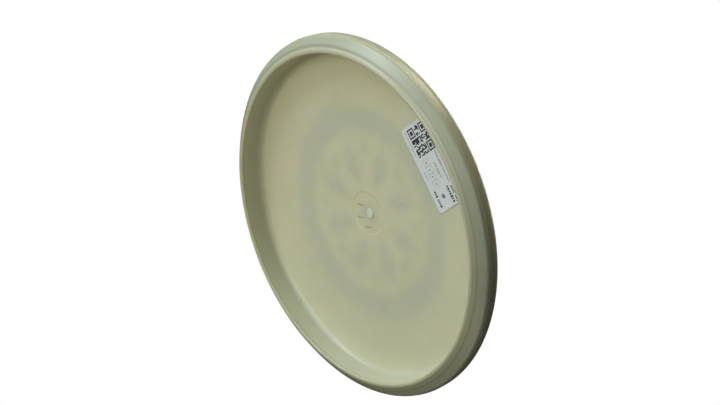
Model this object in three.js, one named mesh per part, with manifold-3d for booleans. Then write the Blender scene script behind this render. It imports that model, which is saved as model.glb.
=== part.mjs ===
// Golf disc of the putt-and-approach kind: a thin flight plate inside a blunt, heavy rim.
// Millimetres, +Z up. The disc lies dome up on its rim, and the origin is the centre of
// the rim's bottom plane, so the flight axis is the Z axis.
//
// Pieces: the first-shot core (flight plate, inner rim wall and bottom lip), the second-shot
// ring moulded round it, the foil islands hot-stamped on the dome, and the paper label
// stuck to the underside of the plate.

import * as THREE from 'three';
import { mergeVertices } from 'three/addons/utils/BufferGeometryUtils.js';
import Module from 'manifold-3d';

const wasm = await Module();
wasm.setup();

// ---- Driving dimensions ------------------------------------------------------------

const FACETS = 72;

// Whole disc
const OUTER_RADIUS = 106;
const CROWN_Z = 17.4;
const DOME_DROP = 0.9;
const DOME_RADIUS = 100;

// Underside of the flight plate
const PLATE_CENTRE_Z = 15;
const PLATE_DROP = 1;
const PLATE_RADIUS = 92.3;
const PLATE_RINGS = [28, 46, 64, 80];

// Gate at the middle of the underside: a shallow round recess with a cut nub in it
const GATE_RECESS_RADIUS = 12.7;
const GATE_STEP = 0.2;
const GATE_NUB_RADIUS = 2.7;
const GATE_NUB_HEIGHT = 0.5;

// Inner wall and bottom lip
const WALL_FILLET = 3.5;
const WALL_RADIUS = PLATE_RADIUS + WALL_FILLET;
const LIP_INNER_RADIUS = 96.3;
const LIP_ROUND = 0.9;
const LIP_FLAT_WIDTH = 0.8;
const LIP_END = [99.5, 1.1];
const LIP_BULGE = 0.15;

// Joint between the two shots
const SEAM_RADIUS = 100.3;
const SEAM_BOTTOM_Z = 1.5;
const TOP_SEAM_RADIUS = 98.5;
const SHOT_GAP = 0.1;

// Outer ring
const BAND_START = [101, 1.88];
const NOSE_ROUND = 3;
const NOSE_START_DEGREES = -48;
const NOSE_END_Z = 7.4;
const PARTING_Z = 7.9;
const PARTING_RIDGE = 0.2;
const SHOULDER_RADIUS = 6;
const SHOULDER_START_Z = 10.5;

// Foil on the dome
const FOIL_LIFT = 0.05;
const FOIL_THICKNESS = 0.1;
const FOIL_RING_OUTER = 63.5;
const FOIL_RING_INNER = 48.5;
const FOIL_COUNT = 8;
const LEAF_INNER = 17;
const LEAF_OUTER = 43;
const LEAF_BOW = 11;
const DOT_RADIUS = 2.8;
const DOT_DISTANCE = 38.5;
const HUB_RADIUS = 6;

// Paper label
const LABEL_LENGTH = 51;
const LABEL_WIDTH = 25;
const LABEL_CORNER = 2.4;
const LABEL_CENTRE = [68.9, -14.6];
const LABEL_TURN_DEGREES = 80.2;
const LABEL_THICKNESS = 0.2;
const LABEL_LIFT = 0.05;

// ---- Profiles, as [radius, height] points ------------------------------------------

const domeTop = (radius) => CROWN_Z - DOME_DROP * (radius / DOME_RADIUS) ** 2;
const plateUnder = (radius) => PLATE_CENTRE_Z - PLATE_DROP * (radius / PLATE_RADIUS) ** 2;

function arc(centre, radius, startDegrees, endDegrees, steps) {
  const points = [];
  for (let step = 0; step <= steps; step += 1) {
    const angle = THREE.MathUtils.degToRad(
      THREE.MathUtils.lerp(startDegrees, endDegrees, step / steps),
    );
    points.push([centre[0] + radius * Math.cos(angle), centre[1] + radius * Math.sin(angle)]);
  }
  return points;
}

// A shallow bow from start to end that stands off its chord by `bulge` at the middle,
// on the right-hand side of the direction of travel.
function bow(start, end, bulge, steps) {
  const along = [end[0] - start[0], end[1] - start[1]];
  const length = Math.hypot(...along);
  const side = [along[1] / length, -along[0] / length];
  const points = [];
  for (let step = 0; step <= steps; step += 1) {
    const share = step / steps;
    const offset = 4 * bulge * share * (1 - share);
    points.push([
      start[0] + along[0] * share + side[0] * offset,
      start[1] + along[1] * share + side[1] * offset,
    ]);
  }
  return points;
}

// The face that both shots share, from the bottom seam up to the top one. The core's
// rib keys into the ring halfway up.
const SHARED_FACE = [
  [SEAM_RADIUS, SEAM_BOTTOM_Z],
  [SEAM_RADIUS, 5],
  [SEAM_RADIUS + 2, 6.2],
  [SEAM_RADIUS + 2, 9],
  [SEAM_RADIUS, 10.2],
  [SEAM_RADIUS, 13.6],
  [TOP_SEAM_RADIUS, 14.8],
  [TOP_SEAM_RADIUS, domeTop(TOP_SEAM_RADIUS)],
];

function gateProfile() {
  const floor = plateUnder(0) + GATE_STEP;
  const nubFace = floor - GATE_NUB_HEIGHT;
  const edge = GATE_RECESS_RADIUS + GATE_STEP;
  return [
    [0, nubFace],
    [GATE_NUB_RADIUS, nubFace],
    [GATE_NUB_RADIUS, floor],
    [GATE_RECESS_RADIUS, floor],
    [edge, plateUnder(edge)],
  ];
}

// The lip's round inner edge, the narrow flat that it stands on, and its sloping face.
function lipProfile() {
  const centre = [LIP_INNER_RADIUS + LIP_ROUND, LIP_ROUND];
  const flatEnd = [centre[0] + LIP_FLAT_WIDTH, 0];
  return [
    ...arc(centre, LIP_ROUND, 180, 270, 3),
    ...bow(flatEnd, LIP_END, LIP_BULGE, 3),
  ];
}

function coreProfile() {
  const filletCentre = [PLATE_RADIUS, plateUnder(PLATE_RADIUS) - WALL_FILLET];
  return [
    ...gateProfile(),
    ...PLATE_RINGS.map((radius) => [radius, plateUnder(radius)]),
    ...arc(filletCentre, WALL_FILLET, 90, 0, 4),
    ...lipProfile(),
    ...SHARED_FACE,
    ...[...PLATE_RINGS].reverse().map((radius) => [radius, domeTop(radius)]),
    [0, domeTop(0)],
  ];
}

function ringProfile() {
  const sharedFace = SHARED_FACE.map(([radius, z]) => [radius + SHOT_GAP, z]);
  const wallRadius = OUTER_RADIUS - PARTING_RIDGE;
  const noseCentre = [wallRadius - NOSE_ROUND, NOSE_END_Z];
  const shoulderCentre = [wallRadius - SHOULDER_RADIUS, SHOULDER_START_Z];
  return [
    sharedFace[0],
    BAND_START,
    ...arc(noseCentre, NOSE_ROUND, NOSE_START_DEGREES, 0, 4),
    [wallRadius, PARTING_Z - PARTING_RIDGE],
    [OUTER_RADIUS, PARTING_Z],
    [wallRadius, PARTING_Z + PARTING_RIDGE],
    ...arc(shoulderCentre, SHOULDER_RADIUS, 0, 90, 6),
    ...sharedFace.reverse(),
  ];
}

// ---- Solids ------------------------------------------------------------------------

// Turns a profile about Z. The profile runs anticlockwise, so faces point out.
function turned(profile) {
  const points = profile.map(([radius, z]) => new THREE.Vector2(radius, z));
  return new THREE.LatheGeometry(points, FACETS).rotateX(Math.PI / 2);
}

function toManifold(geometry) {
  const bare = geometry.clone();
  bare.deleteAttribute('normal');
  bare.deleteAttribute('uv');
  const merged = mergeVertices(bare, 1e-4);
  const triangles = [];
  for (let corner = 0; corner < merged.index.count; corner += 3) {
    const [a, b, c] = [0, 1, 2].map((step) => merged.index.getX(corner + step));
    if (a !== b && b !== c && c !== a) triangles.push(a, b, c);
  }
  return new wasm.Manifold(new wasm.Mesh({
    numProp: 3,
    vertProperties: merged.attributes.position.array,
    triVerts: Uint32Array.from(triangles),
  }));
}

function toGeometry(solid) {
  const mesh = solid.getMesh();
  const geometry = new THREE.BufferGeometry();
  geometry.setAttribute('position', new THREE.BufferAttribute(mesh.vertProperties, 3));
  geometry.setIndex(new THREE.BufferAttribute(mesh.triVerts, 1));
  geometry.computeVertexNormals();
  return geometry;
}

// A closed skin between two heights that follow the plate's own rings.
function skin(surface, lowOffset, highOffset, rings) {
  const low = rings.map((radius) => [radius, surface(radius) + lowOffset]);
  const high = rings.map((radius) => [radius, surface(radius) + highOffset]);
  return toManifold(turned([...low, ...high.reverse()]));
}

// A flat outline pushed up through the whole height of the disc.
function prism(shape, curveSegments) {
  const options = { depth: CROWN_Z * 2, bevelEnabled: false, curveSegments };
  return toManifold(new THREE.ExtrudeGeometry(shape, options));
}

function roundedRectangle(length, width, corner) {
  const [x, y] = [length / 2, width / 2];
  const shape = new THREE.Shape();
  shape.moveTo(-x + corner, -y);
  shape.lineTo(x - corner, -y);
  shape.absarc(x - corner, -y + corner, corner, -Math.PI / 2, 0);
  shape.absarc(x - corner, y - corner, corner, 0, Math.PI / 2);
  shape.absarc(-x + corner, y - corner, corner, Math.PI / 2, Math.PI);
  shape.absarc(-x + corner, -y + corner, corner, Math.PI, Math.PI * 1.5);
  return shape;
}

function leaf() {
  const middle = (LEAF_INNER + LEAF_OUTER) / 2;
  const shape = new THREE.Shape();
  shape.moveTo(LEAF_INNER, 0);
  shape.quadraticCurveTo(middle, -LEAF_BOW, LEAF_OUTER, 0);
  shape.quadraticCurveTo(middle, LEAF_BOW, LEAF_INNER, 0);
  return shape;
}

function dot(distance, radius) {
  const shape = new THREE.Shape();
  shape.absarc(distance, 0, radius, 0, Math.PI * 2);
  return shape;
}

// ---- Materials ---------------------------------------------------------------------

function material(color, roughness, metalness) {
  return new THREE.MeshStandardMaterial({ color, roughness, metalness });
}

const coreColour = () => material(0xc3c6a6, 0.42, 0);
const ringColour = () => material(0xbfc6b0, 0.38, 0);
const foilColour = () => material(0x6f7780, 0.3, 1);
const labelColour = () => material(0xd5dad6, 0.6, 0);

// ---- Assembly ----------------------------------------------------------------------

const disc = new THREE.Group();

function add(parent, name, geometry, colour) {
  const mesh = new THREE.Mesh(geometry, colour);
  mesh.name = name;
  parent.add(mesh);
}

function addMouldings() {
  add(disc, 'disc_core', turned(coreProfile()), coreColour());
  add(disc, 'rim_overmould', turned(ringProfile()), ringColour());
}

function addFoil() {
  const foil = new THREE.Group();
  disc.add(foil);
  const rings = [0, ...PLATE_RINGS];
  const sheet = skin(domeTop, FOIL_LIFT, FOIL_LIFT + FOIL_THICKNESS, rings);
  const stamped = (shape) => toGeometry(sheet.intersect(shape));

  const ring = dot(0, FOIL_RING_OUTER);
  ring.holes.push(dot(0, FOIL_RING_INNER));
  add(foil, 'foil_ring', stamped(prism(ring, FACETS / 2)), foilColour());
  add(foil, 'foil_hub', stamped(prism(dot(0, HUB_RADIUS), 16)), foilColour());

  for (let index = 0; index < FOIL_COUNT; index += 1) {
    const leafTurn = (360 / FOIL_COUNT) * index;
    const dotTurn = leafTurn + 180 / FOIL_COUNT;
    const leafShape = prism(leaf(), 7).rotate([0, 0, leafTurn]);
    const dotShape = prism(dot(DOT_DISTANCE, DOT_RADIUS), 8).rotate([0, 0, dotTurn]);
    add(foil, `foil_leaf_${index + 1}`, stamped(leafShape), foilColour());
    add(foil, `foil_dot_${index + 1}`, stamped(dotShape), foilColour());
  }
}

function addLabel() {
  const rings = [0, ...PLATE_RINGS, PLATE_RADIUS];
  const paper = skin(plateUnder, -LABEL_LIFT - LABEL_THICKNESS, -LABEL_LIFT, rings);
  const outline = prism(roundedRectangle(LABEL_LENGTH, LABEL_WIDTH, LABEL_CORNER), 3)
    .rotate([0, 0, LABEL_TURN_DEGREES])
    .translate([...LABEL_CENTRE, 0]);
  add(disc, 'retail_label', toGeometry(paper.intersect(outline)), labelColour());
}

addMouldings();
addFoil();
addLabel();

export default disc;
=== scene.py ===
"""A golf disc seen from below: a thin translucent flight plate in a blunt two-shot rim.

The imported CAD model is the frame. Every CAD node is replaced by a finer piece that keeps its
place and size: smooth turned mouldings, foil islands that follow the dome, and a printed label.
Lengths are millimetres until they reach a mesh, where MM turns them into metres.
"""

import math
import random

import bmesh
import bpy
from mathutils import Matrix, Vector


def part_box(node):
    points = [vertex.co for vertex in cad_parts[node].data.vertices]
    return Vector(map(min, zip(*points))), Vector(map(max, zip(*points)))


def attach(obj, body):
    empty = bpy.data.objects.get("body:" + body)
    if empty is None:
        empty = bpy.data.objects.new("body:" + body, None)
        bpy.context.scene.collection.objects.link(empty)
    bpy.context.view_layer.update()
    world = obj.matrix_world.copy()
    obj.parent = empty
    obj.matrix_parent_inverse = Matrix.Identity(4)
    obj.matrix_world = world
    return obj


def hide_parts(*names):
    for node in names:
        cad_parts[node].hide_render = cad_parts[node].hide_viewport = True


MM = 0.001

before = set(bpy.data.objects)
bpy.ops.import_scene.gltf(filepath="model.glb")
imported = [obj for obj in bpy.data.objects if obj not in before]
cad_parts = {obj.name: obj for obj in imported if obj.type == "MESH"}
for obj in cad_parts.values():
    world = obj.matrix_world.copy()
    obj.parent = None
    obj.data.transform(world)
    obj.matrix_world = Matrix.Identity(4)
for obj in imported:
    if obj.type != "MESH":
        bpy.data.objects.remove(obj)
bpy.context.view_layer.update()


def top_of(node):
    """Outer radius and top height of a round CAD node, in millimetres."""
    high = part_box(node)[1]
    return high[0] / MM, high[2] / MM


# ---- Driving dimensions, in millimetres ---------------------------------------------------

OUTER_RADIUS = top_of("rim_overmould")[0]
CROWN_Z = top_of("disc_core")[1]
FOIL_RING_OUTER = top_of("foil_ring")[0]
HUB_RADIUS = top_of("foil_hub")[0]

# Steps round a turned piece, spacing of its rings, and the angle that makes an edge sharp
TURN_STEPS = 384
ROW = 1.3
SHARP_ANGLE = math.radians(40)

DOME_DROP = 0.9
DOME_RADIUS = 100
PLATE_CENTRE_Z = 15
PLATE_DROP = 1
PLATE_RADIUS = 92.3
PLATE_WAVE = 0.035
WAVE_FULL = 30
WAVE_FADE = 75
UNDERSIDE_TOP_Z = PLATE_CENTRE_Z + 0.7
UNDERSIDE_FADE = (PLATE_CENTRE_Z + 0.6, PLATE_CENTRE_Z + 1.2)

RECESS_RADIUS = 12.7
RECESS_DEPTH = 0.2
RECESS_SLOPE = 0.9
RECESS_SHIFT = Vector((-1.7, -0.6))
RECESS_SHIFT_START = 3.5
RECESS_SHIFT_FULL = 9
RECESS_SHIFT_END = 22
NUB_RADIUS = 2.7
NUB_HEIGHT = 0.5
NUB_ROUND = 0.3

WALL_FILLET = 3.5
LIP_INNER_RADIUS = 96.3
LIP_ROUND = 0.9
LIP_FLAT_WIDTH = 0.8
LIP_END = (99.5, 1.1)
LIP_BULGE = 0.15

SEAM_RADIUS = 100.3
SEAM_BOTTOM_Z = 1.5
TOP_SEAM_RADIUS = 98.5
TOP_SEAM_CUT = 0.12
RIB_OUT = 2
RIB_START_Z = 5
RIB_FULL_Z = 6.2
RIB_FULL_END_Z = 9
RIB_END_Z = 10.2
FACE_LEAN_Z = 13.6
FACE_LEAN_END_Z = 14.8

BAND_START = (101, 1.88)
NOSE_ROUND = 3
NOSE_START = -48
NOSE_END_Z = 7.4
PARTING_Z = 7.9
PARTING_RIDGE = 0.2
RIDGE_HALF_WIDTH = 0.22
SHOULDER_RADIUS = 6
SHOULDER_START_Z = 10.5

FOIL_LIFT = 0.05
FOIL_THICKNESS = 0.1
FOIL_RING_INNER = 48.5
FOIL_COUNT = 8
LEAF_INNER = 17
LEAF_OUTER = 43
LEAF_BOW = 11
DOT_RADIUS = 2.8
DOT_DISTANCE = 38.5
GHOST_BLUR = 4.5
SEAM_REACH = (0.5, 4.5)
# Painted shade and soil in the seam groove and, less, over the lip
LIP_SHADE_AND_SOIL = 0.6
LIP_SHADE_AND_SOIL_FADE_Z = (1, 2.5)
GROOVE_SHADE_AND_SOIL_FADE_Z = (3, 4)
SHADE_AND_SOIL_INNER = (98.9, 99.9)
SHADE_AND_SOIL_OUTER = (100.8, 102.2)

LABEL_LENGTH = 51
LABEL_WIDTH = 25
LABEL_CORNER = 2.4
LABEL_CENTRE = Vector((68.9, -14.6))
LABEL_TURN = math.radians(80.2)
LABEL_THICKNESS = 0.2
LABEL_LIFT = 0.05
INK_THICKNESS = 0.02

# Printing on the label: a square code, rows of words (along, across, length, height), a row of
# boxes with a tick in each, and a round spot
CODE_ALONG = -23.5
CODE_ACROSS = -7.9
CODE_CELLS = 21
CODE_CELL = 0.8
FINDER_CELLS = 7
BLACK_WORDS = (
    (13.2, -9.7, 9.6, 2.1),
    (14.3, 2.2, 10.4, 2.4),
    (15.4, 5.6, 8.4, 2.2),
)
GREY_WORDS = (
    (-23.4, -10.3, 15, 0.7),
    (-5.9, 6.2, 18.8, 1.4),
    (-0.6, 1.4, 9.2, 1.4),
    (1.0, -9.7, 5, 0.6),
)
BOX_COUNT = 4
BOX_PITCH = 4.27
BOX_CORNER = (-4.6, -6.8)
BOX_SIZE = (4.0, 5)
BOX_LINE = 0.12
TICK_CORNER = (-3.0, -4.9)
TICK_SIZE = (0.8, 1.1)
SPOT_CENTRE = (18.0, -3.2)
SPOT_RADIUS = 1.4
SPOT_STEPS = 20

# Pen strokes beside the gate
PEN_WIDTH = 0.62
PEN_THICKNESS = 0.02
PEN_LENGTH = 6
PEN_BEND = 0.5
PEN_SLANT = math.radians(20)
PEN_DISTANCE = 9
PEN_ANGLES = (230, 180, 130)
PEN_STEPS = 16

# Camera, fitted to the rim's outline and concentric lines: tilt from the flight axis, turn
# about that axis, and roll
VIEW_TILT = math.radians(53)
VIEW_TURN = math.radians(-0.6)
VIEW_ROLL = math.radians(19.8)
VIEW_DISTANCE = 1500
VIEW_OFFSET = (8.8, 7.7)
SENSOR_WIDTH = 36
LENS = 133.6

# Floor and lights. LIGHT_DISTANCE and LIGHT_SIZE are metres
FLOOR_REACH = 6000
FLOOR_GLOW = 0.85
LIGHT_DISTANCE = 1.6
LIGHT_SIZE = 0.8
WARM = (1.0, 0.88, 0.65)
COOL = (0.75, 0.83, 1.0)
NEUTRAL = (1.0, 1.0, 0.95)
# Name, direction from the disc, power in watts, colour
LIGHTS = (
    ("back_key", (0.4, -0.8, 0.6), 15, WARM),
    ("dome_key", (-0.3, -0.1, 0.9), 5, NEUTRAL),
    ("high_left", (0, -0.9, -0.4), 15, COOL),
    ("upper_fill", (-0.1, -0.7, -0.7), 4, NEUTRAL),
    ("under_fill", (0.1, -0.3, -0.9), 11, NEUTRAL),
    ("camera_fill", (0.8, 0, -0.6), 2, NEUTRAL),
    ("bounce", (0, 0.9, -0.4), 2, WARM),
)


# ---- Small geometry helpers ---------------------------------------------------------------


def lerp(start, end, share):
    """The value a share of the way from start to end."""
    return start + (end - start) * share


def smooth(low, high, value):
    """Rises smoothly from 0 at `low` to 1 at `high`, and stays there."""
    share = min(max((value - low) / (high - low), 0), 1)
    return share * share * (3 - 2 * share)


def arc(centre, radius, start, end, steps):
    """Points on a circle in the (radius, height) plane, between two angles in degrees."""
    angles = [math.radians(lerp(start, end, step / steps)) for step in range(steps + 1)]
    return [(centre[0] + radius * math.cos(a), centre[1] + radius * math.sin(a)) for a in angles]


def bow(start, end, bulge, steps):
    """A shallow bow that stands off its chord by `bulge`, to the right of its direction."""
    along = (end[0] - start[0], end[1] - start[1])
    length = math.hypot(*along)
    side = (along[1] / length, -along[0] / length)
    points = []
    for step in range(steps + 1):
        share = step / steps
        offset = 4 * bulge * share * (1 - share)
        points.append(
            (start[0] + along[0] * share + side[0] * offset,
             start[1] + along[1] * share + side[1] * offset)
        )
    return points


def rows(start, end, surface):
    """Points along a surface of revolution between two radii, about one ROW apart."""
    steps = max(1, round(abs(end - start) / ROW))
    radii = [lerp(start, end, step / steps) for step in range(steps + 1)]
    return [(radius, surface(radius)) for radius in radii]


def dome_top(radius):
    return CROWN_Z - DOME_DROP * (radius / DOME_RADIUS) ** 2


def plate_under(radius):
    return PLATE_CENTRE_Z - PLATE_DROP * (radius / PLATE_RADIUS) ** 2


# ---- Meshes -------------------------------------------------------------------------------


def new_piece(name, vertices, faces, node=None, slot=None):
    """A smooth-shaded piece from millimetres. It may replace a CAD node. The slot argument is not
    used.
    """
    mesh = bpy.data.meshes.new(name)
    mesh.from_pydata([[c * MM for c in vertex] for vertex in vertices], [], faces)
    mesh.validate()
    piece = bpy.data.objects.new(name, mesh)
    bpy.context.collection.objects.link(piece)
    mesh.shade_smooth()
    mesh.set_sharp_from_angle(angle=SHARP_ANGLE)
    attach(piece, "root")
    if node:
        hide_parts(node)
    return piece


def turned(profile, warp=None):
    """Vertices and faces of a profile turned about Z. A profile that starts and ends on the
    axis gets one vertex at each pole, and any other profile closes on itself."""
    on_axis = profile[0][0] == 0
    middle = profile[1:-1] if on_axis else profile
    vertices = []
    for radius, height in middle:
        for step in range(TURN_STEPS):
            angle = 2 * math.pi * step / TURN_STEPS
            point = Vector((radius * math.cos(angle), radius * math.sin(angle), height))
            vertices.append(warp(point, radius, angle) if warp else point)
    faces = []
    rings = len(middle)
    for ring in range(rings - 1 if on_axis else rings):
        low, high = ring * TURN_STEPS, (ring + 1) % rings * TURN_STEPS
        for step in range(TURN_STEPS):
            after = (step + 1) % TURN_STEPS
            faces.append((low + step, low + after, high + after, high + step))
    if on_axis:
        for pole, ring, flip in ((profile[0], 0, True), (profile[-1], rings - 1, False)):
            vertices.append(Vector((0, 0, pole[1])))
            hub = len(vertices) - 1
            base = ring * TURN_STEPS
            for step in range(TURN_STEPS):
                after = (step + 1) % TURN_STEPS
                first, second = (after, step) if flip else (step, after)
                faces.append((base + first, base + second, hub))
    return vertices, faces


def patch(outline, columns, place, low, high):
    """A thin closed sheet on a curved surface. `outline` is a list of (along, half width),
    place(along, across) gives x and y, and low/high give the two faces' heights."""
    vertices = []
    for face_height in (low, high):
        for along, half in outline:
            for column in range(columns + 1):
                x, y = place(along, lerp(-half, half, column / columns))
                vertices.append((x, y, face_height(x, y)))
    width = columns + 1
    layer = len(outline) * width
    faces = []
    for row in range(len(outline) - 1):
        for column in range(columns):
            a = row * width + column
            quad = (a, a + width, a + width + 1, a + 1)
            faces.append(quad)
            faces.append(tuple(layer + corner for corner in reversed(quad)))
    edge = list(range(width))
    edge += [row * width + columns for row in range(1, len(outline))]
    edge += [(len(outline) - 1) * width + column for column in range(columns - 1, -1, -1)]
    edge += [row * width for row in range(len(outline) - 2, 0, -1)]
    for here, there in zip(edge, edge[1:] + edge[:1]):
        faces.append((here, there, layer + there, layer + here))
    return vertices, faces


def fix_normals(piece):
    """Merges the points where an outline comes to a tip, and turns every face outwards."""
    mesh = bmesh.new()
    mesh.from_mesh(piece.data)
    bmesh.ops.remove_doubles(mesh, verts=mesh.verts, dist=1e-7)
    bmesh.ops.dissolve_degenerate(mesh, edges=mesh.edges, dist=1e-7)
    bmesh.ops.recalc_face_normals(mesh, faces=mesh.faces)
    mesh.to_mesh(piece.data)
    mesh.free()


# ---- Profiles -----------------------------------------------------------------------------


def gate_profile():
    """Underside from the axis to the edge of the gate recess: nub, floor, soft slope."""
    floor = plate_under(0) + RECESS_DEPTH
    face = floor - NUB_HEIGHT
    nub_centre = (NUB_RADIUS - NUB_ROUND, face + NUB_ROUND)
    slope_start = RECESS_RADIUS - RECESS_SLOPE / 2
    slope = []
    for share in (0.15, 0.3, 0.45, 0.6, 0.75, 0.9):
        radius = slope_start + RECESS_SLOPE * share
        slope.append((radius, lerp(floor, plate_under(radius), smooth(0, 1, share))))
    return (
        [(0, face), (NUB_RADIUS / 3, face), (NUB_RADIUS * 2 / 3, face)]
        + arc(nub_centre, NUB_ROUND, 270, 360, 4)
        + [(NUB_RADIUS, floor - 0.03), (NUB_RADIUS + 0.15, floor)]
        + rows(NUB_RADIUS + 0.8, slope_start, lambda radius: floor)
        + slope
    )


def between(start, end, steps):
    """Points on a straight line, from its start up to one step before its end."""
    return [
        (lerp(start[0], end[0], step / steps), lerp(start[1], end[1], step / steps))
        for step in range(steps)
    ]


def lip_profile():
    """The narrow lip that the disc stands on: its round inner edge, its flat, its outer face."""
    centre = (LIP_INNER_RADIUS + LIP_ROUND, LIP_ROUND)
    flat_end = (centre[0] + LIP_FLAT_WIDTH, 0)
    return arc(centre, LIP_ROUND, 180, 270, 10) + bow(flat_end, LIP_END, LIP_BULGE, 8)


def shared_face():
    """The face that both shots share, from the bottom seam to the top one, with a keying rib."""
    rib = SEAM_RADIUS + RIB_OUT
    return [
        (SEAM_RADIUS, SEAM_BOTTOM_Z),
        (SEAM_RADIUS, RIB_START_Z),
        (rib, RIB_FULL_Z),
        (rib, RIB_FULL_END_Z),
        (SEAM_RADIUS, RIB_END_Z),
        (SEAM_RADIUS, FACE_LEAN_Z),
        (TOP_SEAM_RADIUS, FACE_LEAN_END_Z),
        (TOP_SEAM_RADIUS, dome_top(TOP_SEAM_RADIUS) - TOP_SEAM_CUT),
    ]


def core_profile():
    """The first shot: gate, plate, fillet, inner wall, lip, shared face and dome."""
    plate_start = RECESS_RADIUS + RECESS_SLOPE / 2
    fillet_centre = (PLATE_RADIUS, plate_under(PLATE_RADIUS) - WALL_FILLET)
    wall_top = (PLATE_RADIUS + WALL_FILLET, fillet_centre[1])
    wall_foot = (LIP_INNER_RADIUS, LIP_ROUND)
    wall = between(wall_top, wall_foot, 6)[1:]
    return (
        gate_profile()
        + rows(plate_start, PLATE_RADIUS, plate_under)
        + arc(fillet_centre, WALL_FILLET, 90, 0, 14)[1:]
        + wall
        + lip_profile()
        + shared_face()
        + rows(TOP_SEAM_RADIUS - TOP_SEAM_CUT, ROW, dome_top)
        + [(0, CROWN_Z)]
    )


def parting_ridge(wall_radius):
    """The fine raised line where the two halves of the mould meet."""
    foot, flank = wall_radius - 0.02, wall_radius + 0.08
    half = RIDGE_HALF_WIDTH
    return [
        (foot, PARTING_Z - half),
        (flank, PARTING_Z - 0.1),
        (OUTER_RADIUS, PARTING_Z),
        (flank, PARTING_Z + 0.1),
        (foot, PARTING_Z + half),
    ]


def ring_profile():
    """The second shot: band, nose, parting ridge, wall, shoulder and shared face."""
    wall_radius = OUTER_RADIUS - PARTING_RIDGE
    shoulder_centre = (wall_radius - SHOULDER_RADIUS, SHOULDER_START_Z)
    nose_centre = (wall_radius - NOSE_ROUND, NOSE_END_Z)
    nose = arc(nose_centre, NOSE_ROUND, NOSE_START, 0, 12)
    wall_start = (wall_radius, PARTING_Z + 0.5)
    wall_end = (wall_radius, SHOULDER_START_Z)
    face = shared_face()
    return (
        [face[0]]
        + between(BAND_START, nose[0], 10)
        + nose
        + parting_ridge(wall_radius)
        + between(wall_start, wall_end, 3)
        + arc(shoulder_centre, SHOULDER_RADIUS, 0, 88, 24)
        + [(TOP_SEAM_RADIUS + TOP_SEAM_CUT, dome_top(TOP_SEAM_RADIUS))]
        + face[::-1][:-1]
    )


# ---- Foil pattern, shared by the foil pieces and by their shadow in the plate ---------------


def leaf_half_width(distance):
    """Half the width of a leaf at a distance from the axis: none at its two tips."""
    share = (distance - LEAF_INNER) / (LEAF_OUTER - LEAF_INNER)
    return 2 * LEAF_BOW * share * (1 - share)


def foil_depth(x, y):
    """How far a point lies inside the nearest foil island: positive inside, in millimetres."""
    radius = math.hypot(x, y)
    angle = math.atan2(y, x)
    sector = 2 * math.pi / FOIL_COUNT
    leaf_angle = (angle + sector / 2) % sector - sector / 2
    dot_angle = angle % sector - sector / 2
    along, across = radius * math.cos(leaf_angle), abs(radius * math.sin(leaf_angle))
    inside_ends = min(max(along, LEAF_INNER), LEAF_OUTER)
    leaf = leaf_half_width(inside_ends) - across - abs(along - inside_ends)
    dot_distance = math.hypot(
        radius * math.cos(dot_angle) - DOT_DISTANCE, radius * math.sin(dot_angle)
    )
    ring = min(FOIL_RING_OUTER - radius, radius - FOIL_RING_INNER)
    return max(leaf, DOT_RADIUS - dot_distance, ring, HUB_RADIUS - radius)


def foil_shadow(x, y, under):
    """The foil's shadow with a soft edge, on the underside only."""
    return under * smooth(-GHOST_BLUR, GHOST_BLUR, foil_depth(x, y))


def seam_shade_and_soil(radius, z):
    """Painted shade and soil: full in the seam groove, lighter over the lip, and none above the
    rim's underside.
    """
    on_lip = LIP_SHADE_AND_SOIL * (1 - smooth(*LIP_SHADE_AND_SOIL_FADE_Z, z))
    in_groove = smooth(*SHADE_AND_SOIL_INNER, radius) * (1 - smooth(*GROOVE_SHADE_AND_SOIL_FADE_Z, z))
    return max(on_lip, in_groove) * (1 - smooth(*SHADE_AND_SOIL_OUTER, radius))


def translucency(radius, z):
    """Full away from the two seams. At a seam, light would be lost inside the joint."""
    seams = ((SEAM_RADIUS, SEAM_BOTTOM_Z), (TOP_SEAM_RADIUS, dome_top(TOP_SEAM_RADIUS)))
    nearest = min(math.hypot(radius - seam[0], z - seam[1]) for seam in seams)
    return smooth(*SEAM_REACH, nearest)


def add_plastic_fields(piece):
    """Stores what the plastic's look depends on: the foil's soft shadow on the underside, painted
    light on the gate nub's face, painted shade and soil in the seam groove, and how freely light
    spreads inside."""
    fields = {"foil_shadow": [], "nub_painted_light": [], "seam_shade_and_soil": [], "translucency": []}
    for vertex in piece.data.vertices:
        x, y, z = (c / MM for c in vertex.co)
        radius = math.hypot(x, y)
        under = 1 - smooth(*UNDERSIDE_FADE, z)
        fields["foil_shadow"].append(foil_shadow(x, y, under))
        # Painted light: marks the gate nub's face to be painted lighter
        fields["nub_painted_light"].append(under if radius < NUB_RADIUS + 0.02 else 0.0)
        # Painted shade and soil: darker in the seam groove and over the lip
        fields["seam_shade_and_soil"].append(seam_shade_and_soil(radius, z))
        fields["translucency"].append(translucency(radius, z))
    for name, values in fields.items():
        piece.data.attributes.new(name, "FLOAT", "POINT").data.foreach_set("value", values)


# ---- Shader helpers -----------------------------------------------------------------------


def linear(red, green, blue):
    """An sRGB colour, 0 to 255, as the linear colour that a shader takes."""
    channels = []
    for value in (red, green, blue):
        share = value / 255
        channels.append(share / 12.92 if share <= 0.04045 else ((share + 0.055) / 1.055) ** 2.4)
    return (*channels, 1)


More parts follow.
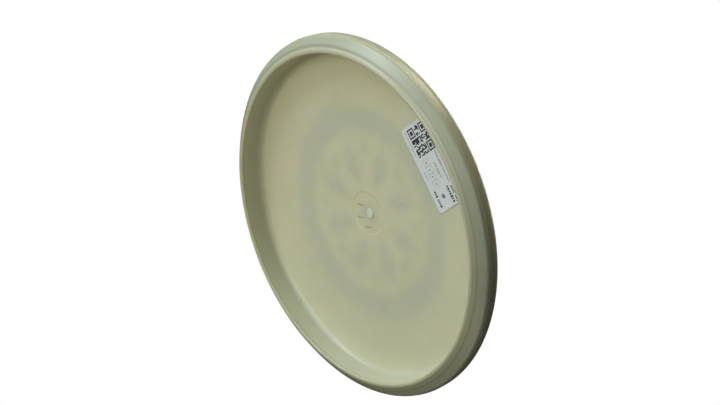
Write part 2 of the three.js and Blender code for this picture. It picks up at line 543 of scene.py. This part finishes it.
class Shader:
    """A Principled material under construction."""

    # The mix node has sockets for each kind of value: these are its share and two colours
    MIX_SHARE, MIX_FIRST, MIX_SECOND, MIX_RESULT = 0, 6, 7, 2

    def __init__(self, name):
        self.material = bpy.data.materials.new(name)
        self.material.use_nodes = True
        self.nodes = self.material.node_tree.nodes
        self.links = self.material.node_tree.links
        self.principled = self.nodes["Principled BSDF"]
        self.place = self.add("ShaderNodeTexCoord").outputs["Object"]

    def add(self, kind, **values):
        node = self.nodes.new(kind)
        for key, value in values.items():
            setattr(node, key, value)
        return node

    def join(self, source, target):
        self.links.new(source, target)

    def set(self, **sockets):
        for key, value in sockets.items():
            self.principled.inputs[key.replace("_", " ")].default_value = value

    def field(self, name):
        return self.add("ShaderNodeAttribute", attribute_name=name).outputs["Fac"]

    def noise(self, scale, detail=3, roughness=0.5, stretch=None):
        node = self.add("ShaderNodeTexNoise")
        node.inputs["Scale"].default_value = scale
        node.inputs["Detail"].default_value = detail
        node.inputs["Roughness"].default_value = roughness
        place = self.place
        if stretch:
            mapping = self.add("ShaderNodeMapping")
            mapping.inputs["Scale"].default_value = stretch
            self.join(place, mapping.inputs["Vector"])
            place = mapping.outputs["Vector"]
        self.join(place, node.inputs["Vector"])
        return node.outputs["Fac"]

    def remap(self, source, low, high, to_low, to_high):
        node = self.add("ShaderNodeMapRange")
        self.join(source, node.inputs["Value"])
        node.inputs["From Min"].default_value = low
        node.inputs["From Max"].default_value = high
        node.inputs["To Min"].default_value = to_low
        node.inputs["To Max"].default_value = to_high
        return node.outputs["Result"]

    def math(self, operation, first, second):
        node = self.add("ShaderNodeMath", operation=operation)
        for socket, value in zip(node.inputs, (first, second)):
            if isinstance(value, (int, float)):
                socket.default_value = value
            else:
                self.join(value, socket)
        return node.outputs["Value"]

    def mix(self, share, first, second):
        """Mixes two colours; each may be a colour or another node's output."""
        node = self.add("ShaderNodeMix", data_type="RGBA")
        values = ((self.MIX_SHARE, share), (self.MIX_FIRST, first), (self.MIX_SECOND, second))
        for index, value in values:
            if isinstance(value, (int, float, tuple)):
                node.inputs[index].default_value = value
            else:
                self.join(value, node.inputs[index])
        return node.outputs[self.MIX_RESULT]

    def bump(self, height, strength, distance):
        node = self.add("ShaderNodeBump")
        node.inputs["Strength"].default_value = strength
        node.inputs["Distance"].default_value = distance
        self.join(height, node.inputs["Height"])
        self.join(node.outputs["Normal"], self.principled.inputs["Normal"])


# ---- Materials ----------------------------------------------------------------------------


def plastic_body(shader, colour):
    """The compound's own colour: cloudy, with faint flow marks."""
    cloud = shader.remap(shader.noise(26, detail=2), 0.35, 0.65, 0, 0.2)
    cloudy = (channel - 12 for channel in colour)
    clouded = shader.mix(cloud, linear(*colour), linear(*cloudy))
    flow = shader.remap(shader.noise(90, detail=4, stretch=(0.25, 1.4, 1)), 0.4, 0.7, 0, 1)
    return shader.mix(shader.math("MULTIPLY", flow, 0.06), clouded, linear(226, 222, 196))


def tint(shader, field, strength, under, colour):
    """Lays a colour over another one where a stored field says so."""
    share = shader.math("MULTIPLY", shader.field(field), strength)
    return shader.mix(share, under, linear(*colour))


def plastic_surface(shader, roughness):
    """Scuffs in the gloss, and a fine moulded grain."""
    scuff = shader.noise(65, detail=6, roughness=0.65)
    shader.join(
        shader.remap(scuff, 0.3, 0.75, roughness - 0.05, roughness + 0.09),
        shader.principled.inputs["Roughness"],
    )
    fine = shader.math("MULTIPLY", shader.noise(1500, detail=2), 0.15)
    shader.bump(shader.math("ADD", fine, shader.noise(140, detail=3)), 0.03, 0.0004)


def moulded_plastic(name, colour, roughness):
    """Glow-type moulding compound: cloudy, translucent and slightly glossy."""
    shader = Shader(name)
    base = plastic_body(shader, colour)
    base = tint(shader, "foil_shadow", 0.06, base, (140, 156, 158))
    # Painted light: the gate nub's face is painted lighter than the plate
    base = tint(shader, "nub_painted_light", 0.6, base, (214, 222, 214))
    # Painted shade and soil: a darker olive in the seam groove and, less, over the lip
    base = tint(shader, "seam_shade_and_soil", 0.45, base, (124, 124, 84))
    speck = shader.remap(shader.noise(420, detail=1, roughness=0.3), 0.81, 0.84, 0, 0.4)
    base = shader.mix(speck, base, linear(128, 118, 86))
    shader.join(base, shader.principled.inputs["Base Color"])

    plastic_surface(shader, roughness)
    shader.join(
        shader.remap(shader.field("translucency"), 0, 1, 0, 0.85),
        shader.principled.inputs["Subsurface Weight"],
    )
    shader.set(
        IOR=1.48,
        Subsurface_Radius=(1.0, 0.82, 0.44),
        Subsurface_Scale=0.006,
        Coat_Weight=0.1,
        Coat_Roughness=0.25,
    )
    return shader.material


def foil_material():
    """Hot-stamped metallic foil, brushed thin by handling."""
    shader = Shader("stamped_foil")
    tone = shader.remap(shader.noise(120, detail=5), 0.35, 0.7, 0, 1)
    worn = shader.mix(tone, linear(118, 128, 138), linear(150, 157, 160))
    chip = shader.remap(shader.noise(900, detail=2), 0.72, 0.75, 0, 1)
    chipped = shader.mix(chip, worn, linear(190, 192, 168))
    shader.join(chipped, shader.principled.inputs["Base Color"])
    shader.join(
        shader.remap(shader.noise(260, detail=5), 0.3, 0.7, 0.24, 0.4),
        shader.principled.inputs["Roughness"],
    )
    shader.bump(shader.noise(700, detail=3), 0.15, 0.0002)
    shader.set(Metallic=0.5)
    return shader.material


def paper_material():
    """Semi-matt label stock with a faint fibre."""
    shader = Shader("label_paper")
    fibre = shader.remap(shader.noise(1400, detail=4, stretch=(1, 0.35, 1)), 0.35, 0.7, 0, 1)
    shader.join(
        shader.mix(fibre, linear(208, 214, 210), linear(217, 222, 218)),
        shader.principled.inputs["Base Color"],
    )
    shader.join(
        shader.remap(shader.noise(300, detail=4), 0.3, 0.7, 0.48, 0.62),
        shader.principled.inputs["Roughness"],
    )
    shader.bump(shader.noise(2200, detail=3), 0.1, 0.0001)
    return shader.material


def ink_material(name, colour, spread, roughness):
    """Printing or pen ink that lies unevenly."""
    shader = Shader(name)
    blot = shader.remap(shader.noise(1800, detail=3), 0.35, 0.65, 0, 1)
    lighter = tuple(min(255, channel + spread) for channel in colour)
    shader.join(
        shader.mix(blot, linear(*colour), linear(*lighter)),
        shader.principled.inputs["Base Color"],
    )
    shader.join(
        shader.remap(shader.noise(600, detail=2), 0.3, 0.7, roughness - 0.08, roughness + 0.08),
        shader.principled.inputs["Roughness"],
    )
    shader.bump(shader.noise(2600, detail=2), 0.1, 0.00005)
    return shader.material


# ---- Mouldings ----------------------------------------------------------------------------


def core_warp(point, radius, angle):
    """Gives the turned core what a real moulding has: a gate recess that sits off centre
    and a plate that waves by a few hundredths of a millimetre."""
    if point.z < UNDERSIDE_TOP_Z and radius < RECESS_SHIFT_END:
        share = smooth(RECESS_SHIFT_START, RECESS_SHIFT_FULL, radius)
        share *= 1 - smooth(RECESS_RADIUS + 1, RECESS_SHIFT_END, radius)
        point.x += RECESS_SHIFT.x * share
        point.y += RECESS_SHIFT.y * share
    if RECESS_RADIUS + 2 < radius < PLATE_RADIUS:
        fade = smooth(RECESS_RADIUS + 2, WAVE_FULL, radius)
        fade *= 1 - smooth(WAVE_FADE, PLATE_RADIUS - 4, radius)
        wave = math.sin(3 * angle + radius * 0.06) + 0.6 * math.sin(5 * angle - radius * 0.09)
        point.z += PLATE_WAVE * wave * fade
    return point


def make_mouldings():
    core = new_piece(
        "core_moulding", *turned(core_profile(), core_warp), node="disc_core", slot="core_plastic"
    )
    ring = new_piece(
        "rim_moulding", *turned(ring_profile()), node="rim_overmould", slot="rim_plastic"
    )
    for piece in (core, ring):
        add_plastic_fields(piece)
    core.data.materials.append(moulded_plastic("core_plastic", (200, 202, 173), 0.4))
    ring.data.materials.append(moulded_plastic("rim_plastic", (176, 182, 157), 0.36))


# ---- Foil on the dome ---------------------------------------------------------------------


def foil_bottom(x, y):
    return dome_top(math.hypot(x, y)) + FOIL_LIFT


def foil_top(x, y):
    return dome_top(math.hypot(x, y)) + FOIL_LIFT + FOIL_THICKNESS


def polar_place(turn, distance=0):
    """Places a patch in a frame turned about Z by `turn` and pushed out by `distance`."""
    cos, sin = math.cos(turn), math.sin(turn)

    def place(along, across):
        out = distance + along
        return out * cos - across * sin, out * sin + across * cos

    return place


def round_outline(radius, steps):
    angles = [math.pi * step / steps for step in range(steps + 1)]
    return [(-radius * math.cos(a), radius * math.sin(a)) for a in angles]


def foil_piece(name, outline, columns, place, foil):
    piece = new_piece(
        name + "_stamp",
        *patch(outline, columns, place, foil_bottom, foil_top),
        node=name,
        slot="foil",
    )
    fix_normals(piece)
    piece.data.materials.append(foil)


def make_foil():
    foil = foil_material()
    leaf_steps = 24
    leaf = []
    for step in range(leaf_steps + 1):
        along = lerp(LEAF_INNER, LEAF_OUTER, step / leaf_steps)
        leaf.append((along, leaf_half_width(along)))
    for index in range(FOIL_COUNT):
        leaf_turn = 2 * math.pi * index / FOIL_COUNT
        dot_turn = leaf_turn + math.pi / FOIL_COUNT
        foil_piece(f"foil_leaf_{index + 1}", leaf, 6, polar_place(leaf_turn), foil)
        foil_piece(
            f"foil_dot_{index + 1}",
            round_outline(DOT_RADIUS, 16),
            6,
            polar_place(dot_turn, DOT_DISTANCE),
            foil,
        )
    foil_piece("foil_hub", round_outline(HUB_RADIUS, 32), 12, polar_place(0), foil)

    ring_low = rows(FOIL_RING_INNER, FOIL_RING_OUTER, lambda radius: foil_bottom(radius, 0))
    ring_high = rows(FOIL_RING_OUTER, FOIL_RING_INNER, lambda radius: foil_top(radius, 0))
    ring = new_piece(
        "foil_ring_stamp", *turned(ring_low + ring_high), node="foil_ring", slot="foil"
    )
    ring.data.materials.append(foil)


# ---- Label --------------------------------------------------------------------------------


def label_place(along, across):
    """Label coordinates to x and y: along the length from its middle, and across it."""
    cos, sin = math.cos(LABEL_TURN), math.sin(LABEL_TURN)
    return (
        LABEL_CENTRE.x + along * cos + across * sin,
        LABEL_CENTRE.y + along * sin - across * cos,
    )


def under_offset(offset):
    """Height function: so far below the plate's underside."""
    return lambda x, y: plate_under(math.hypot(x, y)) - offset


def label_outline():
    outline = []
    half_length, half_width = LABEL_LENGTH / 2, LABEL_WIDTH / 2
    corner_steps, long_steps = 7, 34
    straight = half_length - LABEL_CORNER
    for step in range(corner_steps):
        angle = math.pi / 2 * step / corner_steps
        along = -straight - LABEL_CORNER * math.cos(angle)
        outline.append((along, half_width - LABEL_CORNER * (1 - math.sin(angle))))
    for step in range(long_steps + 1):
        outline.append((lerp(-straight, straight, step / long_steps), half_width))
    return outline + [(-along, half) for along, half in outline[corner_steps - 1 :: -1]]


class Print:
    """Collects flat ink marks in label coordinates and makes one piece of them."""

    def __init__(self):
        self.vertices = []
        self.faces = []
        under = LABEL_LIFT + LABEL_THICKNESS
        self.low = under_offset(under + INK_THICKNESS)
        self.high = under_offset(under)

    def polygon(self, corners):
        base = len(self.vertices)
        count = len(corners)
        for height in (self.low, self.high):
            for along, across in corners:
                x, y = label_place(along, across)
                self.vertices.append((x, y, height(x, y)))
        self.faces.append(tuple(base + corner for corner in range(count)))
        self.faces.append(tuple(base + count + corner for corner in reversed(range(count))))
        for corner in range(count):
            after = (corner + 1) % count
            self.faces.append(
                (base + corner, base + count + corner, base + count + after, base + after)
            )

    def bar(self, along, across, length, width):
        """A rectangle from its low corner."""
        self.polygon([
            (along, across),
            (along + length, across),
            (along + length, across + width),
            (along, across + width),
        ])

    def frame(self, along, across, length, width, line):
        self.bar(along, across, length, line)
        self.bar(along, across + width - line, length, line)
        self.bar(along, across + line, line, width - 2 * line)
        self.bar(along + length - line, across + line, line, width - 2 * line)

    def words(self, along, across, length, height, dice):
        """A greeked line of type: short bars of uneven height, and no letters."""
        end = along + length
        letters = dice.randint(3, 7)
        while along < end:
            width = height * dice.uniform(0.3, 0.5)
            rise = height * dice.choice((0.62, 0.7, 0.7, 1))
            self.bar(along, across + (height - rise) / 2, width, rise)
            letters -= 1
            along += width + height * (0.2 if letters else 0.6)
            letters = letters or dice.randint(3, 7)

    def make(self, name, material):
        piece = new_piece(name, self.vertices, self.faces, slot="label")
        fix_normals(piece)
        piece.data.materials.append(material)


def print_code(ink, dice):
    """A square block of random cells with a ring in three corners. It encodes nothing."""
    last = CODE_CELLS - FINDER_CELLS
    finders = ((0, 0), (0, last), (last, last))

    def near_finder(row, column):
        return any(
            -1 <= row - first <= FINDER_CELLS and -1 <= column - second <= FINDER_CELLS
            for first, second in finders
        )

    for row in range(CODE_CELLS):
        column = 0
        while column < CODE_CELLS:
            run = dice.choice((1, 1, 1, 2, 2, 3))
            dark = dice.random() < 0.5
            end = min(column + run, CODE_CELLS)
            cells = [cell for cell in range(column, end) if not near_finder(row, cell)]
            if dark and cells:
                ink.bar(
                    CODE_ALONG + row * CODE_CELL,
                    CODE_ACROSS + cells[0] * CODE_CELL,
                    CODE_CELL,
                    len(cells) * CODE_CELL,
                )
            column += run
    for row, column in finders:
        along, across = CODE_ALONG + row * CODE_CELL, CODE_ACROSS + column * CODE_CELL
        side = FINDER_CELLS * CODE_CELL
        ink.frame(along, across, side, side, CODE_CELL)
        ink.bar(along + 2 * CODE_CELL, across + 2 * CODE_CELL, 3 * CODE_CELL, 3 * CODE_CELL)


def make_black_print(dice):
    black = Print()
    print_code(black, dice)
    for along, across, length, height in BLACK_WORDS:
        black.words(along, across, length, height, dice)
    black.make("label_print_black", ink_material("black_ink", (34, 38, 36), 26, 0.5))


def make_grey_print(dice):
    """Small type, a row of ticked boxes and a round spot."""
    grey = Print()
    for along, across, length, height in GREY_WORDS:
        grey.words(along, across, length, height, dice)
    for index in range(BOX_COUNT):
        shift = index * BOX_PITCH
        grey.frame(BOX_CORNER[0] + shift, BOX_CORNER[1], *BOX_SIZE, BOX_LINE)
        grey.bar(TICK_CORNER[0] + shift, TICK_CORNER[1], *TICK_SIZE)
    spot = []
    for step in range(SPOT_STEPS):
        angle = math.tau * step / SPOT_STEPS
        spot.append((
            SPOT_CENTRE[0] + SPOT_RADIUS * math.cos(angle),
            SPOT_CENTRE[1] + SPOT_RADIUS * math.sin(angle),
        ))
    grey.polygon(spot)
    grey.make("label_print_grey", ink_material("grey_ink", (104, 108, 106), 30, 0.5))


def make_label():
    under = LABEL_LIFT + LABEL_THICKNESS
    paper = new_piece(
        "label_paper",
        *patch(label_outline(), 16, label_place, under_offset(under), under_offset(LABEL_LIFT)),
        node="retail_label",
        slot="label",
    )
    fix_normals(paper)
    paper.data.materials.append(paper_material())

    dice = random.Random(11)
    make_black_print(dice)
    make_grey_print(dice)


# ---- Pen strokes by the gate --------------------------------------------------------------


def pen_place(angle):
    """Places a slightly bent stroke beside the gate, at an angle in degrees round it."""
    turn = math.radians(angle)
    centre_x, centre_y = PEN_DISTANCE * math.cos(turn), PEN_DISTANCE * math.sin(turn)
    cos, sin = math.cos(PEN_SLANT), math.sin(PEN_SLANT)

    def place(share, across):
        along = (share - 0.5) * PEN_LENGTH
        side = across + PEN_BEND * 4 * share * (1 - share)
        return centre_x + along * cos - side * sin, centre_y + along * sin + side * cos

    return place


def pen_outline():
    """A stroke of even width that rounds off quickly at both ends."""
    outline = []
    for step in range(PEN_STEPS + 1):
        share = step / PEN_STEPS
        taper = math.sqrt(max(0, 1 - (2 * share - 1) ** 6))
        outline.append((share, PEN_WIDTH / 2 * taper))
    return outline


def make_pen_strokes():
    """Three parallel strokes of pen ink. They form no letter or figure."""
    ink = ink_material("pen_ink", (166, 152, 108), 14, 0.4)
    floor = plate_under(0) + RECESS_DEPTH
    for number, angle in enumerate(PEN_ANGLES, 1):
        stroke = new_piece(
            f"pen_stroke_{number}",
            *patch(
                pen_outline(),
                3,
                pen_place(angle),
                lambda x, y: floor - PEN_THICKNESS,
                lambda x, y: floor,
            ),
            slot="core_plastic",
        )
        fix_normals(stroke)
        stroke.data.materials.append(ink)


# ---- Stage --------------------------------------------------------------------------------


def make_floor():
    """A pale floor that shows only from above, so that the disc can be seen from below it."""
    reach = FLOOR_REACH
    vertices = [(-reach, -reach, 0), (reach, -reach, 0), (reach, reach, 0), (-reach, reach, 0)]
    mesh = bpy.data.meshes.new("floor")
    mesh.from_pydata([[c * MM for c in vertex] for vertex in vertices], [], [(0, 1, 2, 3)])
    floor = bpy.data.objects.new("floor", mesh)
    bpy.context.collection.objects.link(floor)
    floor.visible_diffuse = False
    floor.visible_glossy = False
    floor.visible_transmission = False
    floor.visible_shadow = False

    material = bpy.data.materials.new("pale_floor")
    material.use_nodes = True
    nodes, links = material.node_tree.nodes, material.node_tree.links
    nodes.clear()
    diffuse = nodes.new("ShaderNodeBsdfDiffuse")
    diffuse.inputs["Color"].default_value = linear(137, 137, 135)
    glow = nodes.new("ShaderNodeEmission")
    glow.inputs["Color"].default_value = linear(232, 231, 228)
    glow.inputs["Strength"].default_value = FLOOR_GLOW
    pale = nodes.new("ShaderNodeAddShader")
    clear = nodes.new("ShaderNodeBsdfTransparent")
    facing = nodes.new("ShaderNodeNewGeometry")
    mix = nodes.new("ShaderNodeMixShader")
    output = nodes.new("ShaderNodeOutputMaterial")
    links.new(facing.outputs["Backfacing"], mix.inputs[0])
    links.new(diffuse.outputs[0], pale.inputs[0])
    links.new(glow.outputs[0], pale.inputs[1])
    links.new(pale.outputs[0], mix.inputs[1])
    links.new(clear.outputs[0], mix.inputs[2])
    links.new(mix.outputs[0], output.inputs["Surface"])
    mesh.materials.append(material)


def make_world():
    """White to the camera, and a dimmer even light for everything else."""
    world = bpy.data.worlds.new("studio")
    bpy.context.scene.world = world
    world.use_nodes = True
    nodes, links = world.node_tree.nodes, world.node_tree.links
    ambient = nodes["Background"]
    ambient.inputs["Color"].default_value = (1, 0.985, 0.95, 1)
    ambient.inputs["Strength"].default_value = 0.02
    white = nodes.new("ShaderNodeBackground")
    white.inputs["Color"].default_value = (1, 1, 1, 1)
    white.inputs["Strength"].default_value = 1.0
    path = nodes.new("ShaderNodeLightPath")
    mix = nodes.new("ShaderNodeMixShader")
    links.new(path.outputs["Is Camera Ray"], mix.inputs[0])
    links.new(ambient.outputs[0], mix.inputs[1])
    links.new(white.outputs[0], mix.inputs[2])
    links.new(mix.outputs[0], nodes["World Output"].inputs["Surface"])


def make_lights():
    """Square soft lights round the disc, each facing it from the same distance."""
    for name, direction, power, colour in LIGHTS:
        light = bpy.data.lights.new(name, "AREA")
        light.size = LIGHT_SIZE
        light.energy = power
        light.color = colour
        lamp = bpy.data.objects.new(name, light)
        toward = Vector(direction).normalized()
        lamp.location = toward * LIGHT_DISTANCE
        lamp.rotation_euler = (-toward).to_track_quat("-Z", "Y").to_euler()
        lamp.visible_camera = False
        bpy.context.collection.objects.link(lamp)


def make_camera():
    """The camera looks up at the underside, tilted from the flight axis and rolled."""
    around = Matrix.Rotation(VIEW_TURN, 3, "Z")
    toward = around @ Vector((math.sin(VIEW_TILT), 0, -math.cos(VIEW_TILT)))
    level = around @ Vector((math.cos(VIEW_TILT), 0, math.sin(VIEW_TILT)))
    upright = toward.cross(level)
    right = math.cos(VIEW_ROLL) * level - math.sin(VIEW_ROLL) * upright
    up = math.sin(VIEW_ROLL) * level + math.cos(VIEW_ROLL) * upright
    place = toward * VIEW_DISTANCE + level * VIEW_OFFSET[0] + upright * VIEW_OFFSET[1]

    data = bpy.data.cameras.new("photo_view")
    data.sensor_width = SENSOR_WIDTH
    data.lens = LENS
    camera = bpy.data.objects.new("photo_view", data)
    turn = Matrix((right, up, toward)).transposed().to_4x4()
    camera.matrix_world = Matrix.Translation(place * MM) @ turn
    bpy.context.collection.objects.link(camera)
    bpy.context.scene.camera = camera


make_camera()
make_mouldings()
make_foil()
make_label()
make_pen_strokes()
make_floor()
make_world()
make_lights()
bpy.context.scene.view_settings.view_transform = "Standard"
